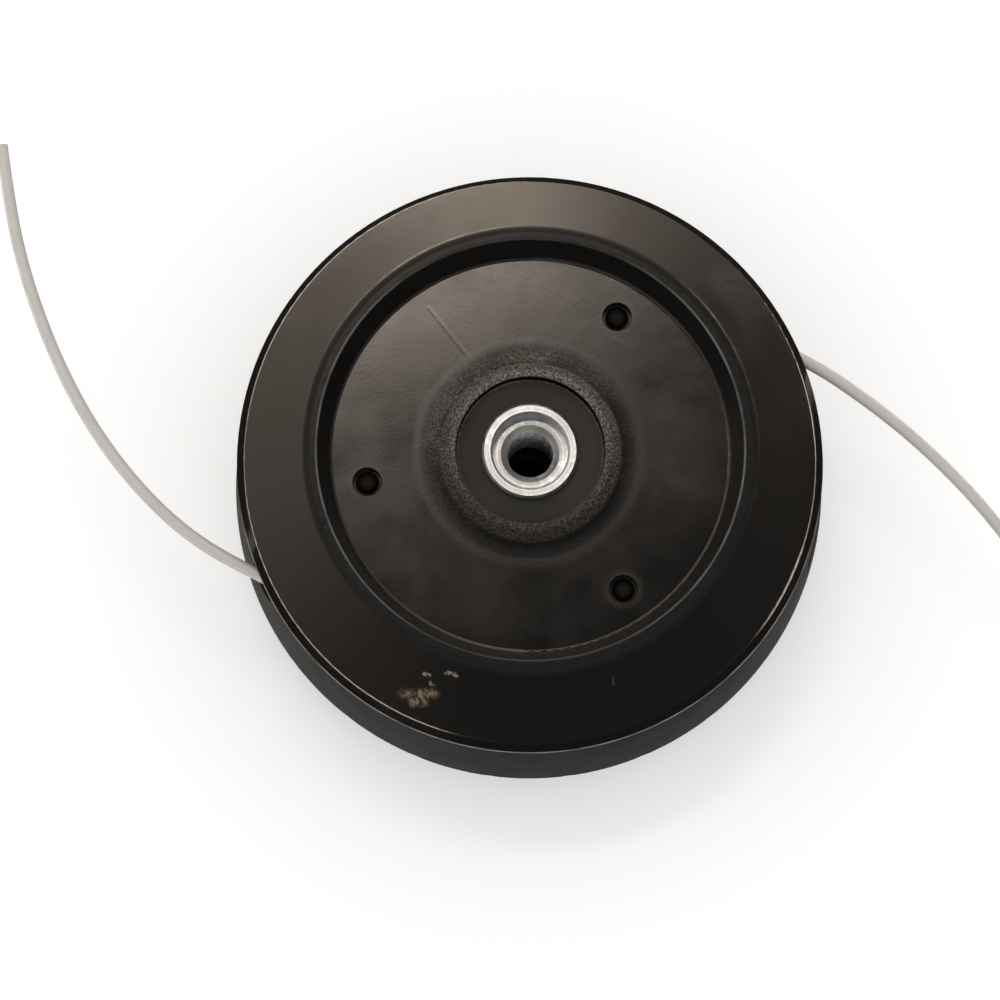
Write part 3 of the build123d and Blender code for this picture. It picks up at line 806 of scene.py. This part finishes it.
# Steel pieces: each with its own tone, polish and kind of mark
steelLooks = {
    "eyeletSteel": {
        "nodes": ("line_eyelet_left", "line_eyelet_right"), "tone": (0.62, 0.61, 0.59, 1),
        "aged": (0.34, 0.32, 0.3, 1), "roughness": 0.2, "grain": 1500, "depth": 0.004,
    },
    "springSteel": {
        "nodes": ("bump_spring", "slider_clip"), "tone": (0.42, 0.42, 0.43, 1),
        "aged": (0.2, 0.19, 0.18, 1), "roughness": 0.34, "grain": 900, "depth": 0.008,
    },
    "washerZinc": {
        "nodes": ("spring_washer", "spring_seat_washer"), "tone": (0.66, 0.67, 0.68, 1),
        "aged": (0.45, 0.46, 0.48, 1), "roughness": 0.28, "grain": 1200, "depth": 0.006,
    },
    "sliderPlate": {
        "nodes": ("feed_slider",), "tone": (0.55, 0.55, 0.54, 1),
        "aged": (0.3, 0.3, 0.29, 1), "roughness": 0.4, "grain": 700, "depth": 0.01,
    },
}


def steelFinish(name):
    look = steelLooks[name]
    finish, tree, shader = startFinish(name)
    place = addNode(tree, "ShaderNodeTexCoord").outputs["Object"]
    shader.inputs["Metallic"].default_value = 1
    aged = ramp(tree, noise(tree, place, 230, 5, 0.65), 0.42, 0.7)
    tree.links.new(mixColour(tree, aged, look["tone"], look["aged"]), shader.inputs["Base Color"])
    drawn = addNode(tree, "ShaderNodeMapping", {"Vector": place, "Scale": (1, 0.15, 1)}).outputs[0]
    lines = noise(tree, drawn, look["grain"], 3)
    rough = ramp(tree, lines, 0.3, 0.7, look["roughness"] - 0.06, look["roughness"] + 0.1)
    tree.links.new(calc(tree, "MULTIPLY_ADD", aged, 0.15, rough), shader.inputs["Roughness"])
    tree.links.new(bumpOn(tree, lines, look["depth"] * mm), shader.inputs["Normal"])
    return finish


# Bump spring: the imported coil, copied as it is; in use the knob's travel squeezes it
coilLook = {"name": "coiledSpring", "node": "bump_spring", "joint": "bump", "steel": "springSteel"}


def coilSpring(finish):
    look = coilLook
    mesh = cad[look["node"]].data.copy()
    mesh.materials.clear()
    mesh.materials.append(finish)
    spring = bpy.data.objects.new(look["name"], mesh)
    scene.collection.objects.link(spring)
    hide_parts(look["node"])
    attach(spring, "housing")
    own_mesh(spring)


# Cutting line: milky nylon, routes as in the part's source
lineLook = {
    "nylon": (0.6, 0.58, 0.555, 1),
    "cloud": (0.53, 0.51, 0.485, 1),
    "diameter": 2.4 * mm,
    "length": 0.112,
    "height": 41.4 * mm,
    "left": (
        (-47.9, -24.3), (-56.1, -20.5), (-65.8, -14.8), (-74.1, -7.6), (-82.3, 1.9),
        (-89.4, 12.8), (-95.4, 25.2), (-100.3, 38.5), (-103.7, 52.3), (-105.6, 65.2),
    ),
    "right": (
        (47.9, 24.3), (56.1, 20.5), (66.0, 13.6), (74.7, 6.6), (82.9, -1.3), (90.4, -9.8),
        (97.0, -18.9), (102.8, -28.7), (107.6, -38.9), (111.3, -49.6), (114.1, -60.5),
    ),
}


def lineFinish():
    finish, tree, shader = startFinish("lineNylon")
    place = addNode(tree, "ShaderNodeTexCoord").outputs["Object"]
    milky = noise(tree, place, 180, 3)
    colour = mixColour(tree, milky, lineLook["nylon"], lineLook["cloud"])
    tree.links.new(colour, shader.inputs["Base Color"])
    shader.inputs["Subsurface Weight"].default_value = 0.15
    shader.inputs["Subsurface Radius"].default_value = (0.8 * mm, 0.8 * mm, 0.7 * mm)
    shader.inputs["Subsurface Scale"].default_value = 1.0
    rough = ramp(tree, noise(tree, place, 260, 2), 0.3, 0.7, 0.28, 0.42)
    tree.links.new(rough, shader.inputs["Roughness"])
    tree.links.new(bumpOn(tree, noise(tree, place, 420, 3), 0.02 * mm), shader.inputs["Normal"])
    return finish


def drawLine(side, finish):
    route = lineLook[side]
    curve = bpy.data.curves.new("cuttingLine." + side, "CURVE")
    curve.dimensions = "3D"
    curve.bevel_depth = lineLook["diameter"] / 2
    curve.bevel_resolution = 6
    curve.resolution_u = 10
    curve.use_fill_caps = True
    spline = curve.splines.new("NURBS")
    spline.points.add(len(route) - 1)
    for point, (x, y) in zip(spline.points, route):
        point.co = (x * mm, y * mm, lineLook["height"], 1)
    spline.order_u = 3
    spline.use_endpoint_u = True
    line = bpy.data.objects.new("cuttingLine." + side, curve)
    line.data.materials.append(finish)
    scene.collection.objects.link(line)
    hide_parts("line_" + side)
    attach(line, "housing")
    print("line drawn:", side)


setStage()
wear("upper_housing", housingFinish())
turnInsert(insertFinish())
wear("bottom_cover", coverFinish())
wear("bump_knob", knobFinish())
wear("spool", spoolFinish())
for name, look in steelLooks.items():
    steel = steelFinish(name)
    for node in look["nodes"]:
        wear(node, steel)
    if name == coilLook["steel"]:
        coilSpring(steel)
nylonLine = lineFinish()
for side in ("left", "right"):
    drawLine(side, nylonLine)
for node in ("line_winding_upper", "line_winding_lower"):
    wear(node, nylonLine)
print("finishes on")
